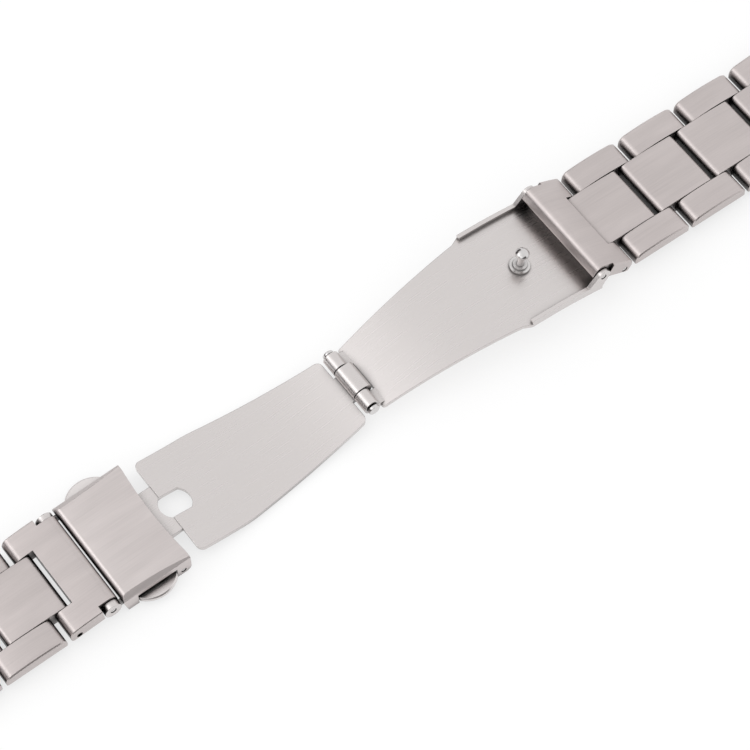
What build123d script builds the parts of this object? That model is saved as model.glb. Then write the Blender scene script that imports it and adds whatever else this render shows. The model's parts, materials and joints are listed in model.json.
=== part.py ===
"""Link watch bracelet with a fold-over clasp, lying open with its outer side up.

Lengths are in millimetres and angles in degrees. X runs along the band, from the clasp cover's
half on the left to the stud blade's half on the right. Y runs across the band and Z is up.
"""
from math import acos, asin, atan2, cos, degrees, hypot, radians, sin, sqrt
import os

from build123d import *

os.makedirs("parts", exist_ok=True)

# Band and its rows of links
band_width = 20.0
centre_width = 10.8
row_clearance = 0.08
link_pitch = 12.0
link_thickness = 3.4
pin_below_middle = 0.3
link_crown = 0.18
side_crown = 0.42
centre_overhang = 1.1
centre_gap = 0.85
side_gap = 0.8
side_setback = 2.3
inner_round = 1.25
end_round = 0.9
under_round = 0.5
side_round = 1.5
side_under_round = 1.15
side_bevel = 0.22
side_slope_height = 1.1
side_slope_width = 0.8
centre_bevel = 0.08
links_per_half = 5
links_to_table = 3

# Link pins
link_pin_radius = 0.5
tie_pin_radius = 0.4
pin_clearance = 0.04
blind_wall = 0.8
pin_recess = 0.1
deep_pin_recess = 0.6
tie_share = 0.52

# Connectors between the clasp and the first links
left_connector_reach = 6.34
right_connector_reach = 5.55
left_connector_tip = 1.5
right_connector_tip = 1.25
left_crossbar_gap = 0.75
right_crossbar_gap = 0.4
left_connector_inset = 0.2
right_connector_inset = 0.15
connector_above_pin = 2.1
connector_below_pin = 0.75
connector_barrel = 1.6
connector_inner_round = 1.5
connector_tip_round = 1.4
connector_under_round = 0.45
connector_bevel = 0.15
ear_notch_clearance = 0.12
ear_notch_gap = 0.2
arm_clearance = 0.08
left_connector_drop = 0.5
right_connector_drop = 2.85

# Clasp cover
cover_length = 12.5
cover_height = 4.15
cover_top_above_pin = 1.64
cover_crown = 0.2
cover_top_wall = 0.8
cover_side_wall = 0.65
cover_front_round = 1.1
cover_lip_depth = 1.35
cover_middle_lip_depth = 3.1
cover_lip_wall = 0.8
cover_scoop = 0.5
cover_scoop_inset = 1.2
cover_wall_setback = 0.6
cover_corner_round = 1.1
bevel_wide = 1.25
bevel_narrow = 0.45
bevel_depth_share = 0.8
button_slot_start = 2.6
button_slot_depth = 1.6

# Hinge between the cover and the slotted blade
cover_hinge_inset = 1.45
cover_hinge_above_edge = 0.95
cover_hinge_pin_radius = 0.45

# Button frame inside the cover
frame_plate = 0.55
frame_clearance = 0.05
frame_inset = 1.5
frame_start = 1.0
frame_hinge_gap = 0.27
frame_left_rib = 1.3
frame_right_rib = 0.85
frame_rib_depth = 2.2
ear_thickness = 1.1
ear_radius = 1.5
ear_pin_outboard = 1.86
ear_arm_thickness = 0.5
ear_arm_height = 1.5
seat_inner = 2.6
seat_thickness = 0.7
seat_width = 2.3
head_window_length = 3.6
head_window_width = 3.8

# Buttons with their catches
button_end_gap = 0.12
button_thickness = 0.95
button_under_cover = 2.6
button_tip_stand = 0.6
button_bulge = 1.5
button_play = 0.35
button_inset = 0.5
button_edge_round = 0.22
button_neck_depth = 2.5
catch_arm_offset = 1.38
catch_left_gap = 0.8
catch_right_gap = 0.29
catch_width = 0.9
catch_gap = 0.08
catch_row_gap = 0.12
button_spring_radius = 0.42
button_spring_wire = 0.18

# Slotted blade
blade_thickness = 0.75
slotted_radius = 90.0
slotted_length = 34.4
slotted_inset = 0.7
slotted_narrow = 13.2
slotted_parallel = 9.8
slotted_end_level = 1.4
slotted_bend_radius = 22.0
blade_corner_round = 1.1
tab_width = 9.1
tab_knuckle_width = 9.6
slot_width = 4.2
slot_radius = 2.75
slot_from_edge = 1.65
knuckle_wall = 0.78
cover_knuckle_clearance = 0.05

# Centre hinge
centre_hinge_past_plate = 1.6
centre_pin_radius = 0.6
centre_knuckle_width = 5.2
centre_knuckle_stretch = 0.75
centre_notch_gap = 0.35
outer_knuckle_width = 2.85
knuckle_gap = 0.2
centre_pin_head_radius = 1.0
centre_pin_stand = 0.8

# Stud blade
stud_blade_radius = 75.0
stud_blade_peak = 23.6
stud_blade_rise = 2.4
stud_plate_start = 1.8
stud_plate_end = 43.15
stud_plate_narrow = 12.5
stud_plate_inset = 0.55
stud_taper_end = 27.3
flange_start = 28.8
flange_end = 40.4
flange_stand = 0.15
flange_height = 0.85
flange_wall = 0.7
stud_ear_radius = 1.35
stud_ear_height = 2.6
stud_ear_along = 42.6

# Latch stud
stud_along = 33.9
stud_base_radius = 1.75
stud_base_height = 0.45
stud_collar_radius = 1.2
stud_collar_height = 0.8
stud_neck_radius = 0.5
stud_neck_foot_radius = 0.65
stud_neck_top = 2.95
stud_head_radius = 1.15
stud_head_height = 1.35
stud_head_under = 0.4
stud_head_land = 0.35
stud_rivet_radius = 0.6
stud_rivet_clearance = 0.02

# End links and their spring bars
end_block_length = 9.6
end_bar_inset = 1.55
end_round_radius = 1.5
bar_tube_radius = 0.9
bar_tube_bore = 0.72
bar_hole_clearance = 0.05
bar_tube_recess = 0.6
bar_lip = 0.4
bar_tip_radius = 0.4
bar_tip_stand = 1.0
bar_stem_radius = 0.58
bar_stem_clearance = 0.03
bar_collar_radius = 0.68
bar_collar_length = 0.9
bar_spring_wire = 0.14

# One overrun serves every cut
overrun = 1.0


def half(value):
    """Half of a size."""
    return value / 2


def side_plane(x, z, pitch, outward):
    """Side view at a point of the band: x runs outward along the band and y to its outer face."""
    along = radians(pitch)
    return Plane(
        origin=(x, 0, z),
        x_dir=(outward * cos(along), 0, sin(along)),
        z_dir=(0, -outward, 0),
    )


def keep(piece, name):
    """Label a finished piece and write its file."""
    piece.part.label = name
    export_step(piece.part, f"parts/{name}.step")


# Heights of a link above and below its pins, and the pin stations across the band
above_pin = half(link_thickness) + pin_below_middle
below_pin = half(link_thickness) - pin_below_middle
centre_edge = half(centre_width)
side_inner = centre_edge + row_clearance
side_width = half(band_width) - side_inner
arm_inner = centre_edge + arm_clearance
left_connector_half = half(band_width) - left_connector_inset
right_connector_half = half(band_width) - right_connector_inset
frame_half_width = half(band_width) - frame_inset
slotted_half_width = half(band_width) - slotted_inset
stud_plate_half_width = half(band_width) - stud_plate_inset
flange_half_span = half(band_width) + flange_stand

# Clasp stations, measured from the cover's left edge and from its ear pin's height
cover_top = cover_top_above_pin
cover_bottom = cover_top - cover_height
cover_ceiling = cover_top - cover_top_wall
cover_hinge_x = cover_length - cover_hinge_inset
cover_hinge_z = cover_bottom + cover_hinge_above_edge
cover_knuckle_bore = cover_hinge_pin_radius + cover_knuckle_clearance
cover_knuckle_radius = cover_knuckle_bore + knuckle_wall
frame_ceiling = cover_ceiling - frame_clearance
frame_floor = frame_ceiling - frame_plate
frame_end = cover_hinge_x - cover_knuckle_radius - frame_hinge_gap
button_slot_length = cover_length - 2 * button_slot_start
button_length = button_slot_length - 2 * button_end_gap

# The catches lie between the frame's ribs, and the slotted blade's slot lies under them when shut
catch_start = frame_start + frame_left_rib + catch_left_gap
catch_end = frame_end - frame_right_rib - catch_right_gap
catch_middle = half(catch_start + catch_end)

# Slotted blade, level between its two ends
slotted_left_x = 2 * cover_hinge_x - catch_middle - slot_from_edge
slotted_right_x = slotted_left_x + slotted_length
slotted_middle_x = half(slotted_left_x + slotted_right_x)
slotted_end_z = cover_hinge_z + slotted_end_level
slotted_centre_z = slotted_end_z + sqrt(slotted_radius**2 - half(slotted_length) ** 2)
slotted_belly_z = slotted_centre_z - slotted_radius - blade_thickness

# Centre hinge: its middle knuckle rolls up from the slotted blade's right end
centre_knuckle_bore = centre_pin_radius + pin_clearance
centre_knuckle_radius = centre_knuckle_bore + blade_thickness
hinge_above_plate = centre_knuckle_radius - blade_thickness
centre_hinge_x = slotted_right_x + centre_hinge_past_plate
hinge_arc = slotted_radius - hinge_above_plate
centre_hinge_z = slotted_centre_z - sqrt(hinge_arc**2 - (centre_hinge_x - slotted_middle_x) ** 2)

# Stud blade's own measures, from the centre hinge
stud_arc_centre_z = stud_blade_rise - stud_blade_radius


def stud_height(along, below=0):
    """Height of the stud blade's top face, or of a face below it, from the centre hinge's axis."""
    return stud_arc_centre_z + sqrt((stud_blade_radius - below) ** 2 - (along - stud_blade_peak) ** 2)


def stud_plate_slope(along):
    """Slope in degrees of the stud blade's top face."""
    return -degrees(asin((along - stud_blade_peak) / stud_blade_radius))


ear_slope = radians(stud_plate_slope(stud_ear_along))
right_ear_along = stud_ear_along - stud_ear_height * sin(ear_slope)
right_ear_height = stud_height(stud_ear_along) + stud_ear_height * cos(ear_slope)

# The band lies on its lowest point, with the left ear pin at zero height until it is lifted
left_ear_x = -ear_pin_outboard
table_z = slotted_belly_z
table_pin_z = table_z + below_pin


def chain(ear_x, ear_z, outward, reach, drop):
    """Pins of one half of the band from the connector outwards, each with the pitch that follows."""
    pins = []
    x = ear_x + outward * sqrt(reach**2 - drop**2)
    z = ear_z - drop
    step_down = (z - table_pin_z) / links_to_table
    for number in range(links_per_half + 1):
        down = step_down if number < links_to_table else 0
        pins.append((x, z, -degrees(asin(down / link_pitch))))
        x += outward * sqrt(link_pitch**2 - down**2)
        z -= down
    return pins


left_pins = chain(left_ear_x, 0, -1, left_connector_reach, left_connector_drop)
right_ear_x = centre_hinge_x + right_ear_along
right_ear_z = centre_hinge_z + right_ear_height
right_pins = chain(right_ear_x, right_ear_z, 1, right_connector_reach, right_connector_drop)

# Shift that puts the finished band's middle over the origin and its lowest point at zero
end_reach = side_setback + end_block_length
shift_x = -half(left_pins[-1][0] + right_pins[-1][0])
shift_z = -table_z


def at(x, z, pitch=0, outward=1):
    """Side view at a clasp or chain station, in the finished frame."""
    return side_plane(x + shift_x, z + shift_z, pitch, outward)


clasp_plane = at(0, 0)
hinge_plane = at(centre_hinge_x, centre_hinge_z)
hinge_plan = Plane(origin=hinge_plane.origin, x_dir=(1, 0, 0), z_dir=(0, 0, 1))


def level_plane(z):
    """Plan view at a height of the clasp, with its origin under the cover's left edge."""
    return Plane(origin=(shift_x, 0, z + shift_z), x_dir=(1, 0, 0), z_dir=(0, 0, 1))


def bar_outline(start, end, low, high, crown, rounds):
    """Side outline of a row piece, crowned above, with its corners rounded clockwise from the inner top."""
    with BuildLine() as outline:
        ThreePointArc((start, high - crown), (half(start + end), high), (end, high - crown))
        Polyline((end, high - crown), (end, low), (start, low), (start, high - crown))
    make_face(outline.edges())
    corners = ((start, high - crown), (end, high - crown), (end, low), (start, low))
    for (corner_x, corner_y), radius in zip(corners, rounds):
        fillet(vertices().sort_by_distance((corner_x, corner_y, 0))[0], radius)


def bore(plane, along, height, radius, half_length):
    """Cut a hole across the band through the piece that is being made."""
    with BuildSketch(plane) as hole:
        with Locations((along, height)):
            Circle(radius)
    extrude(hole.sketch, amount=half_length, both=True, mode=Mode.SUBTRACT)


def slope_under(plane):
    """Slope off the lower outer edges of the link that is being made, along its whole length."""
    edge = half(band_width)
    start = side_slope_height - below_pin
    with BuildSketch(Plane(origin=plane.origin, x_dir=-plane.z_dir, z_dir=plane.x_dir)) as wedges:
        for side in (1, -1):
            Polygon(
                (side * edge, start),
                (side * (edge - side_slope_width), -below_pin),
                (side * (edge - side_slope_width), -below_pin - overrun),
                (side * (edge + overrun), -below_pin - overrun),
                (side * (edge + overrun), start),
                align=None,
            )
    extrude(wedges.sketch, amount=2 * link_pitch, both=True, mode=Mode.SUBTRACT)


def cross_pin(plane, along, height, radius, half_length):
    """A plain pin across the band, with its ends rounded over."""
    with BuildPart() as cross:
        with BuildSketch(plane):
            with Locations((along, height)):
                Circle(radius)
        extrude(amount=half_length, both=True)
        chamfer(cross.edges().filter_by(GeomType.CIRCLE), half(half(radius)))
    return cross


# Links: a centre piece and two side pieces, tied together, and turning on the next link's pin

tie_along = link_pitch * tie_share
centre_end = link_pitch - centre_overhang - centre_gap
side_end = link_pitch + side_setback - side_gap
centre_rounds = (inner_round, end_round, under_round, under_round)
side_rounds = (side_round, side_round, side_under_round, side_under_round)
pin_half_length = half(band_width) - blind_wall - pin_recess
blind_half_length = half(band_width) - blind_wall


def make_centre_piece(plane):
    """Middle block of a link, which reaches inward between the side pieces of the link before."""
    with BuildPart() as centre_piece:
        with BuildSketch(plane):
            bar_outline(-centre_overhang, centre_end, -below_pin, above_pin, link_crown, centre_rounds)
        extrude(amount=centre_edge, both=True)
        faces_across = centre_piece.faces().sort_by(Axis.Y)
        chamfer(faces_across[0].edges() + faces_across[-1].edges(), centre_bevel)
        bore(plane, 0, 0, link_pin_radius + pin_clearance, half(band_width))
        bore(plane, tie_along, 0, tie_pin_radius + pin_clearance, half(band_width))
    return centre_piece


def make_side_pieces(plane):
    """The two outer blocks of a link, whose outer ends carry the next hinge pin in blind holes."""
    with BuildPart() as side_pieces:
        for start in (side_inner, -side_inner - side_width):
            with BuildSketch(plane.offset(start)):
                bar_outline(side_setback, side_end, -below_pin, above_pin, side_crown, side_rounds)
            extrude(amount=side_width)
        faces_across = side_pieces.faces().filter_by(Axis.Y).sort_by(Axis.Y)
        chamfer(faces_across[0].edges() + faces_across[-1].edges(), side_bevel)
        slope_under(plane)
        bore(plane, link_pitch, 0, link_pin_radius + pin_clearance, blind_half_length)
        bore(plane, tie_along, 0, tie_pin_radius + pin_clearance, blind_half_length)
    return side_pieces


def make_link_pins(plane):
    """The tie pin in the middle of a link and the hinge pin at its outer end."""
    with BuildPart() as link_pins:
        for along, radius in ((tie_along, tie_pin_radius), (link_pitch, link_pin_radius)):
            with BuildSketch(plane):
                with Locations((along, 0)):
                    Circle(radius)
            extrude(amount=pin_half_length, both=True)
    return link_pins


# End links: a block for the watch case, with a spring bar

block_rounds = (side_round, end_round_radius, end_round_radius, side_under_round)
bar_along = end_reach - end_bar_inset
bar_hole_radius = bar_tube_radius + bar_hole_clearance
bar_tube_half = half(band_width) - bar_tube_recess
bar_lip_bore = bar_stem_radius + bar_stem_clearance
collar_outer = bar_tube_half - bar_lip - bar_stem_clearance
collar_inner = collar_outer - bar_collar_length
collar_middle = half(collar_inner + collar_outer)
bar_spring_half = collar_inner - bar_stem_clearance


def make_end_link(plane):
    """Last link of a half: a tongue on the hinge pin and a block that fits between the case's lugs."""
    with BuildPart() as end_link:
        with BuildSketch(plane):
            bar_outline(side_setback, end_reach, -below_pin, above_pin, side_crown, block_rounds)
        extrude(amount=half(band_width), both=True)
        faces_across = end_link.faces().filter_by(Axis.Y).sort_by(Axis.Y)
        chamfer(faces_across[0].edges() + faces_across[-1].edges(), side_bevel)
        with BuildSketch(plane):
            bar_outline(-centre_overhang, half(end_reach), -below_pin, above_pin, link_crown, centre_rounds)
        extrude(amount=centre_edge, both=True)
        bore(plane, 0, 0, link_pin_radius + pin_clearance, half(band_width))
        bore(plane, bar_along, 0, bar_hole_radius, band_width)
    return end_link


def make_bar_tube(plane):
    """Tube of a spring bar, drawn in at both ends so that the tips stay in."""
    with BuildPart() as bar_tube:
        with BuildSketch(plane):
            with Locations((bar_along, 0)):
                Circle(bar_tube_radius)
        extrude(amount=bar_tube_half, both=True)
        bore(plane, bar_along, 0, bar_lip_bore, band_width)
        bore(plane, bar_along, 0, bar_tube_bore, bar_tube_half - bar_lip)
    return bar_tube


def make_bar_spring(plane):
    """Coil spring of a spring bar, as the sleeve that the closed coil fills."""
    with BuildPart() as bar_spring:
        with BuildSketch(plane):
            with Locations((bar_along, 0)):
                Circle(bar_collar_radius)
                Circle(bar_collar_radius - bar_spring_wire, mode=Mode.SUBTRACT)
        extrude(amount=bar_spring_half, both=True)
    return bar_spring


def make_bar_tip(plane, side):
    """One tip of a spring bar: a pivot on a stem, whose collar is held back by the tube's end."""
    with BuildPart() as bar_tip:
        for radius, start, end in (
            (bar_collar_radius, collar_inner, collar_outer),
            (bar_stem_radius, collar_middle, half(band_width)),
            (bar_tip_radius, half(band_width), half(band_width) + bar_tip_stand),
        ):
            with BuildSketch(plane.offset(side * start)):
                with Locations((bar_along, 0)):
                    Circle(radius)
            extrude(amount=side * (end - start))
    return bar_tip


# Connectors

left_crossbar_end = left_connector_reach - centre_overhang - left_crossbar_gap
right_crossbar_end = right_connector_reach - centre_overhang - right_crossbar_gap
ear_inner = left_connector_half - ear_thickness
stud_ear_inner = flange_half_span - flange_wall
connector_under = connector_under_round
connector_rounds = (connector_inner_round, connector_tip_round, connector_under, connector_under)


def make_connector(plane, reach, tip, crossbar_end, half_width, ear_face, ear_radius_beside):
    """Link between the clasp's ears and the first centre piece, with an arm on each side of it."""
    inner_half = ear_face - ear_notch_clearance
    notch_end = ear_radius_beside + ear_notch_gap
    with BuildPart() as connector:
        with BuildSketch(plane):
            bar_outline(
                -connector_barrel, reach + tip, -connector_below_pin, connector_above_pin,
                link_crown, connector_rounds,
            )
        extrude(amount=half_width, both=True)
        faces_across = connector.faces().filter_by(Axis.Y).sort_by(Axis.Y)
        chamfer(faces_across[0].edges() + faces_across[-1].edges(), connector_bevel)
        for start in (inner_half, -half(band_width) - overrun):
            with BuildSketch(plane.offset(start)):
                with Locations((half(notch_end - connector_barrel - overrun), 0)):
                    Rectangle(notch_end + connector_barrel + overrun, 2 * link_thickness)
            extrude(amount=half(band_width) + overrun - inner_half, mode=Mode.SUBTRACT)
        with BuildSketch(plane):
            with Locations((crossbar_end + half(reach), 0)):
                Rectangle(reach, 2 * link_thickness)
        extrude(amount=arm_inner, both=True, mode=Mode.SUBTRACT)
        bore(plane, 0, 0, link_pin_radius + pin_clearance, band_width)
        bore(plane, reach, 0, link_pin_radius + pin_clearance, band_width)
    return connector


# Clasp cover: a folded sheet shell, open below and at its right end

button_middle = button_slot_start + half(button_slot_length)
scoop_half_width = half(band_width) - cover_scoop_inset

# The lip stays deep between the frame's ear arms, which leave through a notch on each side
wall_inner = half(band_width) - cover_side_wall
notch_inner = ear_inner - ear_notch_clearance
lip_cuts = (
    (cover_middle_lip_depth, -notch_inner, 2 * notch_inner),
    (cover_lip_depth, notch_inner, wall_inner - notch_inner),
    (cover_lip_depth, -wall_inner, wall_inner - notch_inner),
)

with BuildPart() as clasp_cover:
    with BuildSketch(clasp_plane):
        with BuildLine():
            ThreePointArc(
                (0, cover_top - cover_crown),
                (half(cover_length), cover_top),
                (cover_length, cover_top - cover_crown),
            )
            Polyline(
                (cover_length, cover_top - cover_crown),
                (cover_length, cover_bottom),
                (cover_wall_setback, cover_bottom),
                (0, cover_top - cover_lip_depth),
                (0, cover_top - cover_crown),
            )
        make_face()
        fillet(vertices().sort_by(Axis.Y)[-2:].sort_by(Axis.X)[0], cover_front_round)
        fillet(vertices().sort_by(Axis.Y)[:2].sort_by(Axis.X)[-1], cover_corner_round)
    extrude(amount=half(band_width), both=True)
    with BuildSketch(clasp_plane):
        with BuildLine():
            Polyline(
                (cover_lip_wall, cover_bottom - overrun),
                (cover_lip_wall, cover_ceiling),
                (cover_length + overrun, cover_ceiling),
                (cover_length + overrun, cover_bottom - overrun),
                close=True,
            )
        make_face()
        fillet(vertices().sort_by(Axis.Y)[-2:].sort_by(Axis.X)[0], cover_front_round - cover_top_wall)
    extrude(amount=wall_inner, both=True, mode=Mode.SUBTRACT)
    for depth, start, width in lip_cuts:
        with BuildSketch(clasp_plane.offset(start)):
            with Locations((0, cover_top - depth - half(cover_height))):
                Rectangle(2 * cover_lip_wall + frame_clearance, cover_height)
        extrude(amount=width, mode=Mode.SUBTRACT)
    with BuildSketch(level_plane(cover_bottom)):
        with BuildLine():
            ThreePointArc(
                (cover_length, -scoop_half_width),
                (cover_length - cover_scoop, 0),
                (cover_length, scoop_half_width),
            )
            Polyline(
                (cover_length, scoop_half_width),
                (cover_length + overrun, scoop_half_width),
                (cover_length + overrun, -scoop_half_width),
                (cover_length, -scoop_half_width),
            )
        make_face()
    extrude(amount=cover_height + overrun, mode=Mode.SUBTRACT)
    with BuildSketch(clasp_plane):
        with Locations((button_middle, cover_top - button_slot_depth - half(cover_height))):
            Rectangle(button_slot_length, cover_height)
    extrude(amount=band_width, both=True, mode=Mode.SUBTRACT)
    for side in (1, -1):
        for station, width in ((-overrun, bevel_wide), (cover_length + overrun, bevel_narrow)):
            bevel_plane = Plane(
                origin=(shift_x + station, side * half(band_width), shift_z + cover_top),
                x_dir=(0, -side, 0),
                z_dir=(-side, 0, 0),
            )
            with BuildSketch(bevel_plane):
                with BuildLine():
                    Polyline(
                        (-overrun, overrun),
                        (width + half(overrun), overrun),
                        (width, 0),
                        (0, -width * bevel_depth_share),
                        (-overrun, -width * bevel_depth_share),
                        close=True,
                    )
                make_face()
        loft(mode=Mode.SUBTRACT)
    bore(clasp_plane, cover_hinge_x, cover_hinge_z, cover_hinge_pin_radius + pin_clearance, band_width)
keep(clasp_cover, "clasp_cover")

# Button frame: a plate under the cover's roof, with ribs that guide the buttons and ears for the band

arm_outer = ear_inner + ear_arm_thickness
arm_height = frame_floor - half(ear_arm_height)

with BuildPart() as button_frame:
    with BuildSketch(level_plane(frame_floor)):
        with Locations((half(frame_start + frame_end), 0)):
            Rectangle(frame_end - frame_start, 2 * frame_half_width)
        with Locations((catch_middle, 0)):
            Rectangle(head_window_length, head_window_width, mode=Mode.SUBTRACT)
    extrude(amount=frame_plate)
    with BuildSketch(level_plane(frame_floor - frame_rib_depth)):
        with Locations((frame_start + half(frame_left_rib), 0)):
            Rectangle(frame_left_rib, 2 * frame_half_width)
        with Locations((frame_end - half(frame_right_rib), 0)):
            Rectangle(frame_right_rib, 2 * frame_half_width)
        for side in (1, -1):
            with Locations((catch_middle, side * (seat_inner + half(seat_thickness)))):
                Rectangle(seat_width, seat_thickness)
    extrude(amount=frame_rib_depth)
    for start in (ear_inner, -arm_outer):
        with BuildSketch(clasp_plane.offset(start)):
            with Locations((half(frame_start + frame_left_rib + left_ear_x), arm_height)):
                Rectangle(frame_start + frame_left_rib - left_ear_x, ear_arm_height)
        extrude(amount=ear_arm_thickness)
    for start in (ear_inner, -ear_inner - ear_thickness):
        with BuildSketch(clasp_plane.offset(start)):
            with Locations((left_ear_x, 0)):
                Circle(ear_radius)
        extrude(amount=ear_thickness)
    for start in (frame_half_width, -arm_outer):
        with BuildSketch(clasp_plane.offset(start)):
            with Locations((frame_start + half(frame_left_rib), arm_height)):
                Rectangle(frame_left_rib, ear_arm_height)
        extrude(amount=arm_outer - frame_half_width)
    bore(clasp_plane, left_ear_x, 0, link_pin_radius + pin_clearance, band_width)
keep(button_frame, "button_frame")

# Buttons: a half-round finger piece outside the cover and a catch that grips the stud from behind

button_top = cover_top - button_under_cover
button_bottom = button_top - button_thickness
button_inner = half(band_width) - button_inset
neck_inner = button_inner - button_neck_depth
catch_inner = stud_neck_foot_radius + catch_gap
catch_outer = catch_inner + catch_width
catch_across = half(catch_inner + catch_outer)
arm_end = half(catch_end - catch_start)
arm_middle = half(catch_arm_offset + arm_end)
catch_near = catch_arm_offset - catch_row_gap


def make_button(side):
    """A push button: side is -1 at the front of the band and 1 at the back."""
    button_left = button_middle - half(button_length)
    button_right = button_middle + half(button_length)
    button_face = side * (half(band_width) + button_tip_stand) + button_play
    with BuildPart() as button:
        with BuildSketch(level_plane(button_bottom)):
            with BuildLine():
                ThreePointArc(
                    (button_left, button_face),
                    (button_middle, button_face + side * button_bulge),
                    (button_right, button_face),
                )
                Polyline(
                    (button_right, button_face),
                    (button_right, side * button_inner),
                    (button_left, side * button_inner),
                    (button_left, button_face),
                )
            make_face()
        extrude(amount=button_thickness)
        chamfer(button.faces().filter_by(GeomType.CYLINDER).edges(), button_edge_round)
        with BuildSketch(level_plane(button_bottom)):
            with Locations((catch_middle, side * half(button_inner + neck_inner))):
                Rectangle(2 * arm_end, button_inner - neck_inner + frame_clearance)
            with Locations((catch_middle + side * arm_middle, side * half(neck_inner - catch_outer))):
                Rectangle(arm_end - catch_arm_offset, neck_inner + catch_outer)
            with Locations((catch_middle + side * half(arm_end - catch_near), -side * catch_across)):
                Rectangle(arm_end + catch_near, catch_width)
        extrude(amount=button_thickness)
    return button


def make_button_spring(side):
    """Return spring of a button, as the sleeve that its coils fill."""
    spring_start = seat_inner + seat_thickness
    with BuildPart() as button_spring:
        with BuildSketch(clasp_plane.offset(-side * spring_start)):
            with Locations((catch_middle, half(button_top + button_bottom))):
                Circle(button_spring_radius)
                Circle(button_spring_radius - button_spring_wire, mode=Mode.SUBTRACT)
        extrude(amount=-side * (neck_inner - spring_start))
    return button_spring


for button_name, button_side in (("front", -1), ("back", 1)):
    keep(make_button(button_side), f"{button_name}_button")
    keep(make_button_spring(button_side), f"{button_name}_button_spring")

# Slotted blade: a curved plate with a stud slot, a tab on the cover's hinge and one centre knuckle


def slotted_height(x, below=0):
    """Height of the slotted blade's top face, or of a face below it, at a station."""
    return slotted_centre_z - sqrt((slotted_radius + below) ** 2 - (x - slotted_middle_x) ** 2)


def arc_band(start, end, height_at):
    """Side outline of a curved plate between two stations, from a function of station and depth."""
    middle = half(start + end)
    with BuildLine() as outline:
        ThreePointArc((start, height_at(start)), (middle, height_at(middle)), (end, height_at(end)))
        Line((end, height_at(end)), (end, height_at(end, blade_thickness)))
        ThreePointArc(
            (end, height_at(end, blade_thickness)),
            (middle, height_at(middle, blade_thickness)),
            (start, height_at(start, blade_thickness)),
        )
        Line((start, height_at(start, blade_thickness)), (start, height_at(start)))
    make_face(outline.edges())


def tangent_point(centre, radius, point, side):
    """Where a line from a point touches a circle, on the chosen side of it."""
    across = point[0] - centre[0]
    up = point[1] - centre[1]
    turn = atan2(up, across) + side * acos(radius / hypot(across, up))
    return centre[0] + radius * cos(turn), centre[1] + radius * sin(turn)


def strap_outline(centre, radius, outer, inner, side):
    """Side outline of the strap that runs from a plate's edge to the barrel of its knuckle."""
    touch = tangent_point(centre, radius, outer, side)
    Polygon(centre, touch, outer, inner, align=None)


cover_hinge = (cover_hinge_x, cover_hinge_z)
blade_overlap = blade_thickness
strap_x = slotted_left_x + blade_overlap

with BuildPart() as slotted_blade:
    with BuildSketch(clasp_plane):
        arc_band(slotted_left_x, slotted_right_x, slotted_height)
    extrude(amount=half(band_width), both=True)
    with BuildSketch(level_plane(cover_bottom - cover_height)):
        with BuildLine():
            Polyline(
                (slotted_left_x, -slotted_half_width),
                (slotted_left_x + slotted_parallel, -slotted_half_width),
                (slotted_right_x, -half(slotted_narrow)),
                (slotted_right_x, half(slotted_narrow)),
                (slotted_left_x + slotted_parallel, slotted_half_width),
                (slotted_left_x, slotted_half_width),
                close=True,
            )
        make_face()
        fillet(vertices().group_by(Axis.X)[1], slotted_bend_radius)
        fillet(vertices().group_by(Axis.X)[0] + vertices().group_by(Axis.X)[-1], blade_corner_round)
    extrude(amount=3 * cover_height, mode=Mode.INTERSECT)
    with BuildSketch(clasp_plane):
        strap_outline(
            cover_hinge,
            cover_knuckle_radius,
            (strap_x, slotted_height(strap_x)),
            (strap_x, slotted_height(strap_x, blade_thickness)),
            1,
        )
    extrude(amount=half(tab_width), both=True)
    with BuildSketch(clasp_plane):
        with Locations(cover_hinge):
            Circle(cover_knuckle_radius)
    extrude(amount=half(tab_knuckle_width), both=True)
    with BuildSketch(clasp_plane):
        arc_band(slotted_right_x - blade_overlap, centre_hinge_x, slotted_height)
        with Locations((centre_hinge_x, centre_hinge_z)):
            Circle(centre_knuckle_radius)
        with Locations((centre_hinge_x + half(centre_knuckle_stretch), centre_hinge_z)):
            SlotCenterToCenter(centre_knuckle_stretch, 2 * centre_knuckle_radius)
    extrude(amount=half(centre_knuckle_width), both=True)
    with BuildSketch(level_plane(cover_bottom - cover_height)):
        with Locations((slotted_left_x + slot_from_edge, 0)):
            Circle(slot_radius)
            Rectangle(2 * slot_radius, slot_width, mode=Mode.INTERSECT)
    extrude(amount=3 * cover_height, mode=Mode.SUBTRACT)
    bore(clasp_plane, cover_hinge_x, cover_hinge_z, cover_knuckle_bore, band_width)
    bore(clasp_plane, centre_hinge_x, centre_hinge_z, centre_knuckle_bore, band_width)
keep(slotted_blade, "slotted_blade")

# Stud blade: a curved plate with two knuckles, low flanges and a pair of ears for the connector

outer_knuckle_start = half(centre_knuckle_width) + knuckle_gap
outer_knuckle_end = outer_knuckle_start + outer_knuckle_width
centre_notch_reach = centre_knuckle_radius + centre_knuckle_stretch + centre_notch_gap
stud_strap_along = stud_plate_start + blade_overlap
stud_slope = radians(stud_plate_slope(stud_along))
stud_x = centre_hinge_x + shift_x + stud_along
stud_z = centre_hinge_z + shift_z + stud_height(stud_along)
stud_seat = Plane(
    origin=(stud_x, 0, stud_z),
    x_dir=(cos(stud_slope), 0, sin(stud_slope)),
    z_dir=(-sin(stud_slope), 0, cos(stud_slope)),
)


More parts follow.
